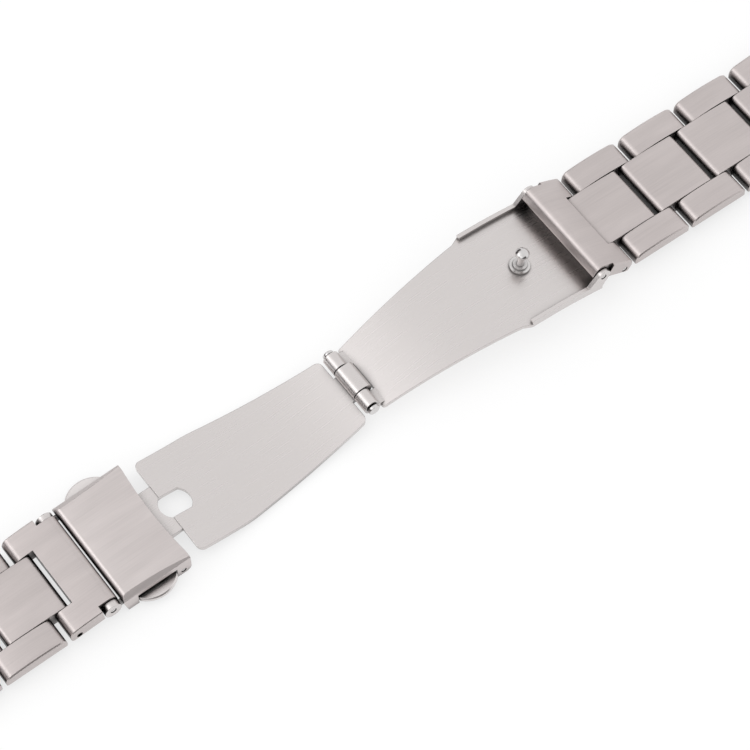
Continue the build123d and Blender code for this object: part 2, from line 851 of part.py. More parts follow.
def flange_outline():
    """Side outline of a flange, with the ear that holds the connector's pin."""
    middle = half(flange_start + flange_end)
    end_middle = half(stud_plate_end + flange_start)
    ear = (right_ear_along, right_ear_height)
    rim_start = (flange_start, stud_height(flange_start, -flange_height))
    rim_end = (flange_end, stud_height(flange_end, -flange_height))
    plate_corner = (stud_plate_end, stud_height(stud_plate_end))
    under_end = (stud_plate_end, stud_height(stud_plate_end, blade_thickness))
    under_start = (flange_start, stud_height(flange_start, blade_thickness))
    with BuildLine() as outline:
        ThreePointArc(rim_start, (middle, stud_height(middle, -flange_height)), rim_end)
        Polyline(
            rim_end,
            tangent_point(ear, stud_ear_radius, rim_end, -1),
            ear,
            tangent_point(ear, stud_ear_radius, plate_corner, 1),
            plate_corner,
            under_end,
        )
        ThreePointArc(under_end, (end_middle, stud_height(end_middle, blade_thickness)), under_start)
        Line(under_start, rim_start)
    make_face(outline.edges())
    with Locations(ear):
        Circle(stud_ear_radius)


with BuildPart() as stud_blade:
    with BuildSketch(hinge_plane):
        arc_band(stud_plate_start, stud_plate_end, stud_height)
    extrude(amount=flange_half_span, both=True)
    with BuildSketch(hinge_plan.offset(-cover_height)):
        with BuildLine():
            Polyline(
                (stud_plate_start, -half(stud_plate_narrow)),
                (stud_taper_end, -stud_plate_half_width),
                (flange_start, -flange_half_span),
                (stud_plate_end, -flange_half_span),
                (stud_plate_end, flange_half_span),
                (flange_start, flange_half_span),
                (stud_taper_end, stud_plate_half_width),
                (stud_plate_start, half(stud_plate_narrow)),
                close=True,
            )
        make_face()
        fillet(vertices().group_by(Axis.X)[0], half(blade_corner_round))
    extrude(amount=3 * cover_height, mode=Mode.INTERSECT)
    with BuildSketch(hinge_plan.offset(-cover_height)):
        Rectangle(2 * centre_notch_reach, 2 * outer_knuckle_start)
    extrude(amount=3 * cover_height, mode=Mode.SUBTRACT)
    for start in (flange_half_span - flange_wall, -flange_half_span):
        with BuildSketch(hinge_plane.offset(start)):
            flange_outline()
        extrude(amount=flange_wall)
    for start in (outer_knuckle_start, -outer_knuckle_end):
        with BuildSketch(hinge_plane.offset(start)):
            strap_outline(
                (0, 0),
                centre_knuckle_radius,
                (stud_strap_along, stud_height(stud_strap_along, blade_thickness)),
                (stud_strap_along, stud_height(stud_strap_along)),
                -1,
            )
            Circle(centre_knuckle_radius)
        extrude(amount=outer_knuckle_width)
    bore(hinge_plane, 0, 0, centre_knuckle_bore, band_width)
    bore(hinge_plane, right_ear_along, right_ear_height, link_pin_radius + pin_clearance, band_width)
    with BuildSketch(stud_seat.offset(-2 * blade_thickness)):
        Circle(stud_rivet_radius + stud_rivet_clearance)
    extrude(amount=3 * blade_thickness, mode=Mode.SUBTRACT)
keep(stud_blade, "stud_blade")

# Latch stud: riveted through the stud blade, with a mushroom head for the catches

stud_rim_bottom = stud_neck_top + stud_head_under
stud_rim_top = stud_rim_bottom + stud_head_land
stud_dome = stud_head_height - stud_head_under - stud_head_land
stud_dome_radius = (stud_head_radius**2 + stud_dome**2) / (2 * stud_dome)
stud_dome_angle = half(asin(stud_head_radius / stud_dome_radius))
stud_top = stud_neck_top + stud_head_height

with BuildPart() as latch_stud:
    with BuildSketch(Plane(origin=stud_seat.origin, x_dir=stud_seat.x_dir, z_dir=(0, -1, 0))):
        with BuildLine():
            Polyline(
                (0, stud_top),
                (0, -blade_thickness),
                (stud_rivet_radius, -blade_thickness),
                (stud_rivet_radius, 0),
                (stud_base_radius, 0),
                (stud_base_radius, stud_base_height),
                (stud_collar_radius, stud_base_height),
                (stud_collar_radius, stud_collar_height),
                (stud_neck_foot_radius, stud_collar_height),
                (stud_neck_radius, stud_neck_top),
                (stud_head_radius, stud_rim_bottom),
                (stud_head_radius, stud_rim_top),
            )
            ThreePointArc(
                (stud_head_radius, stud_rim_top),
                (
                    stud_dome_radius * sin(stud_dome_angle),
                    stud_top - stud_dome_radius * (1 - cos(stud_dome_angle)),
                ),
                (0, stud_top),
            )
        make_face()
    revolve(axis=Axis(stud_seat.origin, stud_seat.z_dir))
keep(latch_stud, "latch_stud")

# Clasp pins

clasp_pin_half = half(band_width) - pin_recess
left_ear_pin_half = left_connector_half - pin_recess
right_ear_pin_half = flange_half_span - pin_recess
centre_pin_half = outer_knuckle_end + centre_pin_stand

for pin_name, pin_plane, pin_along, pin_height, pin_radius, pin_half in (
    ("cover_hinge_pin", clasp_plane, cover_hinge_x, cover_hinge_z, cover_hinge_pin_radius, clasp_pin_half),
    ("left_ear_pin", clasp_plane, left_ear_x, 0, link_pin_radius, left_ear_pin_half),
    ("right_ear_pin", hinge_plane, right_ear_along, right_ear_height, link_pin_radius, right_ear_pin_half),
):
    keep(cross_pin(pin_plane, pin_along, pin_height, pin_radius, pin_half), pin_name)

# The centre hinge's pin has a head at each end, a gap away from the knuckles
with BuildPart() as centre_hinge_pin:
    with BuildSketch(hinge_plane):
        Circle(centre_pin_radius)
    extrude(amount=centre_pin_half, both=True)
    for start in (outer_knuckle_end + knuckle_gap, -centre_pin_half):
        with BuildSketch(hinge_plane.offset(start)):
            Circle(centre_pin_head_radius)
        extrude(amount=centre_pin_stand - knuckle_gap)
    pin_ends = centre_hinge_pin.faces().filter_by(Axis.Y).sort_by(Axis.Y)
    chamfer(pin_ends[0].edges() + pin_ends[-1].edges(), half(half(centre_pin_radius)))
keep(centre_hinge_pin, "centre_hinge_pin")

# Both halves of the band, from the connector to the end link


def make_half(name, outward, ear_x, ear_z, pins, connector_pin_half, *connector):
    """Write every piece of one half of the band."""
    first_x, first_z, _ = pins[0]
    reach = connector[0]
    pitch = degrees(atan2(first_z - ear_z, outward * (first_x - ear_x)))
    plane = at(ear_x, ear_z, pitch, outward)
    keep(make_connector(plane, *connector), f"{name}_connector")
    keep(cross_pin(plane, reach, 0, link_pin_radius, connector_pin_half), f"{name}_connector_pin")
    for number, (x, z, pitch) in enumerate(pins[:-1], start=1):
        plane = at(x, z, pitch, outward)
        keep(make_centre_piece(plane), f"{name}_link_{number}_centre")
        keep(make_side_pieces(plane), f"{name}_link_{number}_sides")
        keep(make_link_pins(plane), f"{name}_link_{number}_pins")
    x, z, pitch = pins[-1]
    plane = at(x, z, pitch, outward)
    keep(make_end_link(plane), f"{name}_end_link")
    keep(make_bar_tube(plane), f"{name}_spring_bar_tube")
    keep(make_bar_spring(plane), f"{name}_spring_bar_spring")
    keep(make_bar_tip(plane, outward), f"{name}_spring_bar_front_tip")
    keep(make_bar_tip(plane, -outward), f"{name}_spring_bar_back_tip")


make_half(
    "left", -1, left_ear_x, 0, left_pins, left_connector_half - deep_pin_recess,
    left_connector_reach, left_connector_tip, left_crossbar_end, left_connector_half, ear_inner, ear_radius,
)
make_half(
    "right", 1, right_ear_x, right_ear_z, right_pins, right_connector_half - pin_recess,
    right_connector_reach, right_connector_tip, right_crossbar_end, right_connector_half,
    stud_ear_inner, stud_ear_radius,
)
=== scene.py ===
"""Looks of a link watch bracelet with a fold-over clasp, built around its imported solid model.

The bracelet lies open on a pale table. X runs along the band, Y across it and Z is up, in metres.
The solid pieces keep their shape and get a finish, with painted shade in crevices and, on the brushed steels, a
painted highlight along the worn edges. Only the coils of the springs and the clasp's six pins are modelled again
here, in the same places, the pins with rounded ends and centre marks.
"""

import json
import math

import bmesh
import bpy
from bpy.props import FloatProperty, FloatVectorProperty, IntProperty, PointerProperty
from mathutils import Matrix, Vector


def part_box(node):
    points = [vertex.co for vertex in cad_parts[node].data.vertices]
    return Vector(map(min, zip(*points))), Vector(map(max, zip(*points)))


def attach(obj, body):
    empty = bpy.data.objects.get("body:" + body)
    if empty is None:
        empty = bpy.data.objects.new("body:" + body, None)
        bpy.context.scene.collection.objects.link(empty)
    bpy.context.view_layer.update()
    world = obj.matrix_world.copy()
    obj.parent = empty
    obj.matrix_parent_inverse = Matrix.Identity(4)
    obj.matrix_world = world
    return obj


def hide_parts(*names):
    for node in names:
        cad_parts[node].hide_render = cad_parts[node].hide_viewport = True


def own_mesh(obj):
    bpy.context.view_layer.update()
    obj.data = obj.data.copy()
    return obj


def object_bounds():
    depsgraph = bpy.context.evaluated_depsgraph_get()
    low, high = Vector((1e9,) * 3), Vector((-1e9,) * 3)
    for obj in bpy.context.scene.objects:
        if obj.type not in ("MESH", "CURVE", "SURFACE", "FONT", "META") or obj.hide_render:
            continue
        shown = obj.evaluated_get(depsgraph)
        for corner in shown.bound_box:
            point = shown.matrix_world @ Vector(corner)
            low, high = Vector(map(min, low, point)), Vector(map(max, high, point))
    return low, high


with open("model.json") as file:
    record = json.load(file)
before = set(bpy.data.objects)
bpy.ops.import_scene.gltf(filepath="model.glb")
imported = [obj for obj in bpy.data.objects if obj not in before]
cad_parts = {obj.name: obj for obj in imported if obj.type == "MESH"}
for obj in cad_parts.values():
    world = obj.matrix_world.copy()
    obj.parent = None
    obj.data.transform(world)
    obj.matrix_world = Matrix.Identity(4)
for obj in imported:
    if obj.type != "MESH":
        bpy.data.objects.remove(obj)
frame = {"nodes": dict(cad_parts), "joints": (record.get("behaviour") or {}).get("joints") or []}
cad_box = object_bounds()

bl_info = {
    "name": "Link watch bracelet",
    "version": (1, 0, 0),
    "blender": (4, 5, 0),
    "location": "3D View > Sidebar > Bracelet",
    "description": "Finishes, clasp pins, springs and studio of a link watch bracelet",
    "category": "Object",
}

MM = 0.001
ACROSS = Vector((0, 1, 0))
PINS = {
    "cover_hinge_pin": "cover",
    "left_ear_pin": "cover",
    "centre_hinge_pin": "stud_blade",
    "right_ear_pin": "stud_blade",
    "left_connector_pin": "left_connector",
    "right_connector_pin": "right_connector",
}
# Rounded edge of a pin's end: steps back from the end face and in from the side, as shares of the rounding
PIN_EDGE = ((0, 1.6), (0.15, 0.7), (0.5, 0.2), (1, 0))
# Sockets of a colour mix node, which has several of the same name
MIX_FACTOR, MIX_FIRST, MIX_SECOND, MIX_COLOUR = 0, 6, 7, 2
# Range that most values of a noise fall into
NOISE_LOW, NOISE_HIGH = 0.3, 0.7
# Tones as shares of the steel's colour: the brushed lines' two sides, and a rubbed edge, which is worn and carries
# a painted highlight
LINE_DARKER, LINE_LIGHTER = 0.09, 0.08
RUBBED_AND_HIGHLIT_TONE, RUBBED_AND_HIGHLIT_SHARE = 1.2, 0.55
TABLE_SIDES = 96
SURROUND_STEPS = 64
# Each softbox: name, place, size, and the property of the stage that holds its power
SOFTBOXES = (
    ("Key softbox", (-0.61, 0.35, 0.55), (0.6, 0.6), "key_power"),
    ("Overhead softbox", (-0.42, 0.2, 0.75), (0.9, 0.7), "overhead_power"),
    ("Side softbox", (-0.55, -0.45, 0.5), (0.6, 0.6), "side_power"),
)


def steel_colour(name, description, default):
    """Colour property of one finish."""
    return FloatVectorProperty(
        name=name, description=description, default=default, subtype="COLOR", size=3, min=0, max=1
    )


def length(name, description, default):
    """Length property in metres."""
    return FloatProperty(
        name=name, description=description, default=default, unit="LENGTH", subtype="DISTANCE", precision=5
    )


def share(name, description, default):
    """Property between nothing and all."""
    return FloatProperty(name=name, description=description, default=default, subtype="FACTOR", min=0, max=1)


class BraceletSizes(bpy.types.PropertyGroup):
    """Sizes of the small parts that are modelled here."""

    button_wire: length("Button spring wire", "Wire thickness of the coil behind each button", 0.18 * MM)
    button_coil_pitch: length("Button coil pitch", "Rise of a button coil in one turn", 0.42 * MM)
    bar_wire: length("Spring bar wire", "Wire thickness of the coils inside the spring bars", 0.14 * MM)
    bar_coil_pitch: length("Spring bar coil pitch", "Rise of a spring bar coil in one turn", 0.36 * MM)
    coil_steps: IntProperty(name="Coil steps", description="Sections in one turn of a coil", default=16, min=8)
    wire_sides: IntProperty(name="Wire sides", description="Sides of a coil's wire", default=8, min=6)
    turned_sides: IntProperty(name="Turned sides", description="Sides of a turned part", default=48, min=16)
    pin_dimple: length("Pin dimple", "Depth of the centre mark in a pin's end", 0.09 * MM)
    pin_rounding: share("Pin rounding", "Share of a pin's radius that its rounded end takes", 0.16)
    head_length: length("Pin head", "Thickness of the centre hinge pin's heads", 0.6 * MM)
    shaft_radius: length("Pin shaft", "Radius of the centre hinge pin between its heads", 0.6 * MM)
    smooth_angle: FloatProperty(
        name="Smooth angle", description="Faces that meet flatter than this shade as one", subtype="ANGLE",
        default=math.radians(28),
    )


class BraceletFinishes(bpy.types.PropertyGroup):
    """Colours and surface of the steels."""

    brushed: steel_colour("Brushed steel", "Links and connectors", (0.56, 0.51, 0.50))
    sheet: steel_colour("Brushed sheet", "Clasp cover", (0.62, 0.57, 0.56))
    button: steel_colour("Button steel", "Push buttons", (0.74, 0.70, 0.69))
    satin: steel_colour("Satin steel", "Blades and the frame under the cover", (0.66, 0.625, 0.615))
    polished: steel_colour("Polished steel", "Stud, pins and spring bars", (0.66, 0.64, 0.635))
    wire: steel_colour("Spring wire", "Drawn wire of the coils", (0.52, 0.50, 0.49))
    brushed_roughness: share("Brushed roughness", "Roughness of the brushed faces", 0.36)
    satin_roughness: share("Satin roughness", "Roughness of the blades", 0.30)
    polished_roughness: share("Polished roughness", "Roughness of the polished parts", 0.12)
    grain_length: length("Grain length", "Usual length of a brushed line", 9 * MM)
    grain_width: length("Grain width", "Usual distance between brushed lines", 0.2 * MM)
    grain_depth: share("Grain depth", "Strength of the brushed lines' relief", 0.22)
    # Reach of the painted shade in crevices
    crevice_shade_reach: length("Crevice reach", "How near other steel darkens a face", 2.5 * MM)
    # Width of the worn edges, which on the brushed steels also carry a painted highlight
    edge_wear_and_highlight: length("Edge wear", "Width of the rubbed line along edges", 0.12 * MM)


class BraceletStage(bpy.types.PropertyGroup):
    """Camera, table and studio light."""

    camera_place: FloatVectorProperty(
        name="Camera place", description="Where the camera stands", subtype="XYZ", unit="LENGTH",
        default=(-0.124995, -0.19281, 0.437459),
    )
    camera_right: FloatVectorProperty(
        name="Camera right", description="Direction of the picture's right side", subtype="XYZ",
        default=(0.8032, -0.5955, -0.0143),
    )
    camera_back: FloatVectorProperty(
        name="Camera back", description="Direction from the picture towards the camera", subtype="XYZ",
        default=(-0.2723, -0.3885, 0.8803),
    )
    view_angle: FloatProperty(
        name="View angle", description="Width of the camera's view", subtype="ANGLE", default=math.radians(13.85)
    )
    ring_radius: length("Ring radius", "Distance of the dark surround from the band", 2.3)
    ring_low: length("Ring foot", "Height of the dark surround's lower edge", 0.0)
    ring_high: length("Ring top", "Height of the dark surround's upper edge", 1.7)
    ring_opening: FloatProperty(
        name="Ring opening", description="Half of the angle that the dark surround leaves open at the right",
        subtype="ANGLE", default=math.radians(62),
    )
    ring_colour: steel_colour("Ring colour", "Colour of the dark surround", (0.10, 0.09, 0.09))
    table_radius: length("Table radius", "Radius of the pale table", 2.5)
    table_gap: length("Table gap", "Room between the band and the table", 0.05 * MM)
    table_colour: steel_colour("Table colour", "Colour of the table", (0.92, 0.92, 0.92))
    paper_share: share("Paper share", "How much of the table shows as plain white paper", 0.7)
    key_power: FloatProperty(
        name="Key power", description="Power of the softbox behind the cover's end", default=1.1, unit="POWER"
    )
    overhead_power: FloatProperty(
        name="Overhead power", description="Power of the softbox above the band", default=0.45, unit="POWER"
    )
    side_power: FloatProperty(
        name="Side power", description="Power of the softbox beside the band", default=0.5, unit="POWER"
    )


def sizes():
    """Sizes as they are set in the scene."""
    return bpy.context.scene.bracelet_sizes


def finishes():
    """Finishes as they are set in the scene."""
    return bpy.context.scene.bracelet_finishes


class Shading:
    """A material's node tree, with short calls for its nodes and links."""

    def __init__(self, name, metallic=0.0):
        self.material = bpy.data.materials.new(name)
        self.material.use_nodes = True
        self.tree = self.material.node_tree
        self.shader = self.tree.nodes["Principled BSDF"]
        self.shader.inputs["Metallic"].default_value = metallic
        self.place = self.add("ShaderNodeTexCoord").outputs["Object"]

    def add(self, kind, **settings):
        """New node of a kind, with its own settings."""
        node = self.tree.nodes.new(kind)
        for setting, value in settings.items():
            setattr(node, setting, value)
        return node

    def link(self, source, target):
        """Join an output to an input."""
        self.tree.links.new(source, target)

    def feed(self, socket, value):
        """Join an output to an input, or set the input to a number or a colour."""
        if isinstance(value, bpy.types.NodeSocket):
            self.link(value, socket)
        elif isinstance(value, tuple):
            socket.default_value = (*value, 1)
        else:
            socket.default_value = value

    def noise(self, spacing, detail, turn=0.0):
        """Noise whose features are about `spacing` metres long on each axis, turned about the Y axis."""
        mapping = self.add("ShaderNodeMapping", vector_type="TEXTURE")
        mapping.inputs["Scale"].default_value = spacing
        mapping.inputs["Rotation"].default_value = (0, turn, 0)
        self.link(self.place, mapping.inputs["Vector"])
        texture = self.add("ShaderNodeTexNoise")
        texture.inputs["Scale"].default_value = 1
        texture.inputs["Detail"].default_value = detail
        self.link(mapping.outputs["Vector"], texture.inputs["Vector"])
        return texture.outputs["Fac"]

    def ranged(self, source, low, high, new_low, new_high):
        """A value carried from one range to another."""
        node = self.add("ShaderNodeMapRange")
        for socket, value in zip(("From Min", "From Max", "To Min", "To Max"), (low, high, new_low, new_high)):
            node.inputs[socket].default_value = value
        self.link(source, node.inputs["Value"])
        return node.outputs["Result"]

    def spread(self, noise, new_low, new_high):
        """A noise's usual range carried to another."""
        return self.ranged(noise, NOISE_LOW, NOISE_HIGH, new_low, new_high)

    def mixed(self, factor, first, second):
        """Mix of two values, each a number or an output."""
        node = self.add("ShaderNodeMix", data_type="FLOAT")
        for socket, value in (("Factor", factor), ("A", first), ("B", second)):
            self.feed(node.inputs[socket], value)
        return node.outputs["Result"]

    def tinted(self, factor, first, second, blend="MIX"):
        """Blend of two colours, each fixed or an output."""
        node = self.add("ShaderNodeMix", data_type="RGBA", blend_type=blend)
        for socket, value in ((MIX_FACTOR, factor), (MIX_FIRST, first), (MIX_SECOND, second)):
            self.feed(node.inputs[socket], value)
        return node.outputs[MIX_COLOUR]

    def crevice_painted_shade(self, reach, colour):
        """The colour of an output, with painted shade where other steel stands close by."""
        near = self.add("ShaderNodeAmbientOcclusion", samples=8)
        near.inputs["Distance"].default_value = reach
        shade = self.ranged(near.outputs["AO"], 0.3, 0.85, 0.02, 1)
        return self.tinted(1, colour, shade, "MULTIPLY")

    def relief(self, height, strength, depth, normal):
        """Fine relief of the shader's surface, on top of a normal."""
        bump = self.add("ShaderNodeBump")
        bump.inputs["Strength"].default_value = strength
        bump.inputs["Distance"].default_value = depth
        self.link(height, bump.inputs["Height"])
        self.link(normal, bump.inputs["Normal"])
        self.link(bump.outputs["Normal"], self.shader.inputs["Normal"])

    def edge(self, width):
        """Value that is one along the worn edges and nothing on flat faces, and the rounded normal; the brushed
        steels also paint a highlight along these edges.
        """
        rounded = self.add("ShaderNodeBevel", samples=4)
        rounded.inputs["Radius"].default_value = width
        flat = self.add("ShaderNodeNewGeometry")
        agreement = self.add("ShaderNodeVectorMath", operation="DOT_PRODUCT")
        self.link(rounded.outputs["Normal"], agreement.inputs[0])
        self.link(flat.outputs["Normal"], agreement.inputs[1])
        return self.ranged(agreement.outputs["Value"], 0.995, 0.86, 0, 1), rounded.outputs["Normal"]


def scaled(colour, amount):
    """Colour made lighter or darker."""
    return tuple(min(1.0, channel * amount) for channel in colour)


def brushed_steel(name, colour, roughness, turn=0.0, line_share=1.0):
    """Steel with fine lines along the band on its faces, worn edges with a painted highlight, and painted shade in
    crevices.
    """
    look = finishes()
    shading = Shading(name, metallic=1.0)
    along, across = look.grain_length, look.grain_width
    over_top = shading.noise((along, across, 40 * MM), 4, turn)
    over_side = shading.noise((along, 40 * MM, across), 4, turn)
    normal = shading.add("ShaderNodeSeparateXYZ")
    facing = shading.add("ShaderNodeTexCoord").outputs["Normal"]
    shading.link(facing, normal.inputs["Vector"])
    sideways = shading.add("ShaderNodeMath", operation="ABSOLUTE")
    shading.link(normal.outputs["Y"], sideways.inputs[0])
    on_side = shading.ranged(sideways.outputs["Value"], 0.75, 0.9, 0, 1)
    lines = shading.mixed(on_side, over_top, over_side)
    cloud = shading.noise((12 * MM, 2.2 * MM, 6 * MM), 2, turn)
    tone = shading.mixed(shading.spread(cloud, 0.35, 0.65), lines, cloud)
    worn, rounded = shading.edge(look.edge_wear_and_highlight)
    darker = scaled(colour, 1 - LINE_DARKER * line_share)
    lighter = scaled(colour, 1 + LINE_LIGHTER * line_share)
    base = shading.tinted(shading.spread(tone, 0, 1), darker, lighter)
    # Lighter along the edges: partly wear, partly a painted highlight
    rubbed_and_highlit = shading.tinted(shading.ranged(worn, 0, 1, 0, RUBBED_AND_HIGHLIT_SHARE), base, scaled(colour, RUBBED_AND_HIGHLIT_TONE))
    # Painted shade where other steel stands close by
    shading.link(shading.crevice_painted_shade(look.crevice_shade_reach, rubbed_and_highlit), shading.shader.inputs["Base Color"])
    matt = shading.spread(lines, roughness - 0.05, roughness + 0.06)
    shading.link(shading.mixed(worn, matt, 0.2), shading.shader.inputs["Roughness"])
    shading.relief(lines, look.grain_depth * line_share, 0.02 * MM, rounded)
    return shading.material


def polished_steel(name, colour, roughness):
    """Bright turned steel with faint marks round it, and painted shade in crevices."""
    look = finishes()
    shading = Shading(name, metallic=1.0)
    marks = shading.noise((0.25 * MM, 0.25 * MM, 0.25 * MM), 3)
    cloud = shading.noise((1.5 * MM, 1.5 * MM, 1.5 * MM), 2)
    worn, rounded = shading.edge(look.edge_wear_and_highlight)
    base = shading.tinted(shading.spread(cloud, 0, 1), scaled(colour, 0.94), scaled(colour, 1.04))
    # Painted shade where other steel stands close by
    shading.link(shading.crevice_painted_shade(look.crevice_shade_reach, base), shading.shader.inputs["Base Color"])
    matt = shading.spread(marks, roughness - 0.04, roughness + 0.08)
    shading.link(shading.mixed(worn, matt, roughness), shading.shader.inputs["Roughness"])
    shading.relief(marks, 0.05, 0.01 * MM, rounded)
    return shading.material


def spring_wire(name, colour):
    """Drawn wire with a slightly dull, uneven skin."""
    shading = Shading(name, metallic=1.0)
    skin = shading.noise((0.08 * MM, 0.08 * MM, 0.08 * MM), 3)
    base = shading.tinted(shading.spread(skin, 0, 1), scaled(colour, 0.88), scaled(colour, 1.06))
    shading.link(base, shading.shader.inputs["Base Color"])
    shading.link(shading.spread(skin, 0.26, 0.42), shading.shader.inputs["Roughness"])
    return shading.material


def material(name, maker, *settings):
    """Material of that name, made the first time it is asked for."""
    return bpy.data.materials.get(name) or maker(name, *settings)


def brushed():
    """Brushed steel of the links and the left connector."""
    look = finishes()
    return material("brushed_links", brushed_steel, look.brushed, look.brushed_roughness)


def sheet():
    """Brushed sheet of the cover."""
    look = finishes()
    return material("brushed_sheet", brushed_steel, look.sheet, look.brushed_roughness)


def button():
    """Lighter steel of the push buttons."""
    look = finishes()
    return material("brushed_button", brushed_steel, look.button, look.satin_roughness, 0.0, 0.3)


def sloping_brushed():
    """The same brushed steel, with its side lines along the sloping right connector."""
    look = finishes()
    ear, link = hinge("right_connector_hinge"), hinge("right_link_1_hinge")
    slope = math.atan2(link.z - ear.z, link.x - ear.x)
    return material("brushed_sloping", brushed_steel, look.brushed, look.brushed_roughness, -slope)


def satin():
    """Satin steel of the blades and the frame under the cover."""
    look = finishes()
    return material("satin_blades", brushed_steel, look.satin, look.satin_roughness, 0.0, 0.1)


def polished():
    """Polished steel of the small turned parts."""
    look = finishes()
    return material("polished_turned", polished_steel, look.polished, look.polished_roughness)


def wire():
    """Drawn wire of the coils."""
    return material("drawn_wire", spring_wire, finishes().wire)


def joint(name):
    """Entry of a joint in the frame."""
    return next(entry for entry in frame["joints"] if entry["name"] == name)


def hinge(name):
    """Place of a hinge's axis."""
    return Vector(joint(name)["pos_m"])


def smooth(piece):
    """Shade curved faces as one and keep the sharp edges crisp."""
    for face in piece.data.polygons:
        face.use_smooth = True
    split = piece.modifiers.new("Keep edges crisp", "EDGE_SPLIT")
    split.split_angle = sizes().smooth_angle


def finish_node(node, look):
    """Give a solid piece its finish, and smooth its curved faces."""
    piece = frame["nodes"][node]
    piece.data.materials.clear()
    piece.data.materials.append(look)
    weld = piece.modifiers.new("Join faces", "WELD")
    weld.merge_threshold = 0.001 * MM
    smooth(piece)


def mesh_object(name, mesh):
    """Object in the scene for a finished mesh."""
    data = bpy.data.meshes.new(name)
    mesh.to_mesh(data)
    mesh.free()
    thing = bpy.data.objects.new(name, data)
    bpy.context.scene.collection.objects.link(thing)
    return thing


def new_piece(name, mesh, body, slot, look, *stood_for):
    """Object for a finished mesh, riding on its body in place of solid pieces."""
    mesh.normal_update()
    piece = mesh_object(name, mesh)
    piece.data.materials.append(look)
    smooth(piece)
    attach(piece, body)
    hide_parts(*stood_for)
    return piece


def turned(profile, sides):
    """Mesh of a profile turned about the Y axis: each point is a station along the axis and a radius."""
    mesh = bmesh.new()
    points = [mesh.verts.new((radius, station, 0)) for station, radius in profile]
    lines = [mesh.edges.new(pair) for pair in zip(points, points[1:])]
    bmesh.ops.spin(
        mesh, geom=points + lines, cent=(0, 0, 0), axis=ACROSS, dvec=(0, 0, 0), angle=math.tau, steps=sides,
        use_merge=True, use_duplicate=False,
    )
    bmesh.ops.remove_doubles(mesh, verts=mesh.verts, dist=0.0005 * MM)
    bmesh.ops.recalc_face_normals(mesh, faces=mesh.faces)
    return mesh


def moved(mesh, place):
    """The mesh, carried to its place."""
    bmesh.ops.translate(mesh, verts=mesh.verts, vec=place)
    return mesh


def coil(radius, wire_width, pitch, turns, steps, sides):
    """Mesh of a coil about the Y axis, from its first turn at y = 0."""
    mesh = bmesh.new()
    section = bmesh.ops.create_circle(mesh, cap_ends=True, radius=wire_width / 2, segments=sides)
    # Turned over, because the order of its points decides how the coil's twisted faces split
    bmesh.ops.rotate(mesh, verts=section["verts"], cent=(0, 0, 0), matrix=Matrix.Rotation(math.pi, 3, "X"))
    bmesh.ops.translate(mesh, verts=section["verts"], vec=(radius - wire_width / 2, wire_width / 2, 0))
    count = round(turns * steps)
    bmesh.ops.spin(
        mesh, geom=mesh.faces[:] + mesh.edges[:] + mesh.verts[:], cent=(0, 0, 0), axis=ACROSS,
        dvec=(0, turns * pitch / count, 0), angle=math.tau * turns, steps=count, use_merge=False,
        use_duplicate=False,
    )
    bmesh.ops.recalc_face_normals(mesh, faces=mesh.faces)
    return mesh


def pin_end(reach, radius):
    """Profile of one end of a pin, from its centre mark outwards."""
    size = sizes()
    rounding = radius * size.pin_rounding
    mark = [(reach - size.pin_dimple, 0), (reach, size.pin_dimple * 2)]
    return mark + [(reach - rounding * back, radius - rounding * inward) for back, inward in PIN_EDGE]


def pin_profile(reach, radius, node):
    """Whole profile of a pin: the centre hinge's pin has a thinner shaft between its two heads."""
    size = sizes()
    end = pin_end(reach, radius)
    if node == "centre_hinge_pin":
        under = reach - size.head_length
        end += [(under + radius * 0.06, radius), (under, radius * 0.94), (under, size.shaft_radius)]
    return [(-station, width) for station, width in end] + end[::-1]


class BRACELET_OT_finish_steel(bpy.types.Operator):
    """Give every solid piece its steel: brushed links and cover, satin blades, polished pins"""

    bl_idname = "bracelet.finish_steel"
    bl_label = "Finish the steel"

    def execute(self, context):
        for entry in frame["nodes"]:
            if entry == "right_connector":
                finish_node(entry, sloping_brushed())
            elif entry.endswith(("_spring", "_pins", "_pin", "_tube", "_tip")) or entry == "latch_stud":
                finish_node(entry, polished())
            elif entry.endswith("_blade") or entry == "button_frame":
                finish_node(entry, satin())
            elif entry.endswith("_button"):
                finish_node(entry, button())
            elif entry == "clasp_cover":
                finish_node(entry, sheet())
            else:
                finish_node(entry, brushed())
        return {"FINISHED"}


class BRACELET_OT_make_springs(bpy.types.Operator):
    """Wind the coils behind the buttons and, in two halves each, inside the spring bars"""

    bl_idname = "bracelet.make_springs"
    bl_label = "Wind the springs"

    def execute(self, context):
        size = sizes()
        for side, towards in (("front", -1), ("back", 1)):
            node = f"{side}_button_spring"
            low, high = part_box(node)
            fixed = low.y if towards > 0 else high.y
            self.wind(node, "cover", f"{side}_button_press", f"{side}_button_coil", fixed, towards,
                      high.y - low.y, size.button_wire, size.button_coil_pitch)
        for side in ("left", "right"):
            node = f"{side}_spring_bar_spring"
            low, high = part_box(node)
            for where, towards in (("front", -1), ("back", 1)):
                self.wind(node, f"{side}_end", f"{side}_{where}_tip_slide", f"{side}_bar_{where}_coil", 0.0,
                          towards, high.y, size.bar_wire, size.bar_coil_pitch)
        return {"FINISHED"}

    def wind(self, node, body, slide, name, fixed, towards, span, wire_width, pitch):
        """One coil from its fixed end."""
        size = sizes()
        low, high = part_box(node)
        turns = (span - wire_width) / pitch
        mesh = coil((high.x - low.x) / 2, wire_width, pitch, turns, size.coil_steps, size.wire_sides)
        if towards < 0:
            bmesh.ops.rotate(mesh, verts=mesh.verts, cent=(0, 0, 0), matrix=Matrix.Rotation(math.pi, 3, "Z"))
        moved(mesh, ((low.x + high.x) / 2, fixed, (low.z + high.z) / 2))
        piece = new_piece(name, mesh, body, "spring_steel", wire(), node)
        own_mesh(piece)


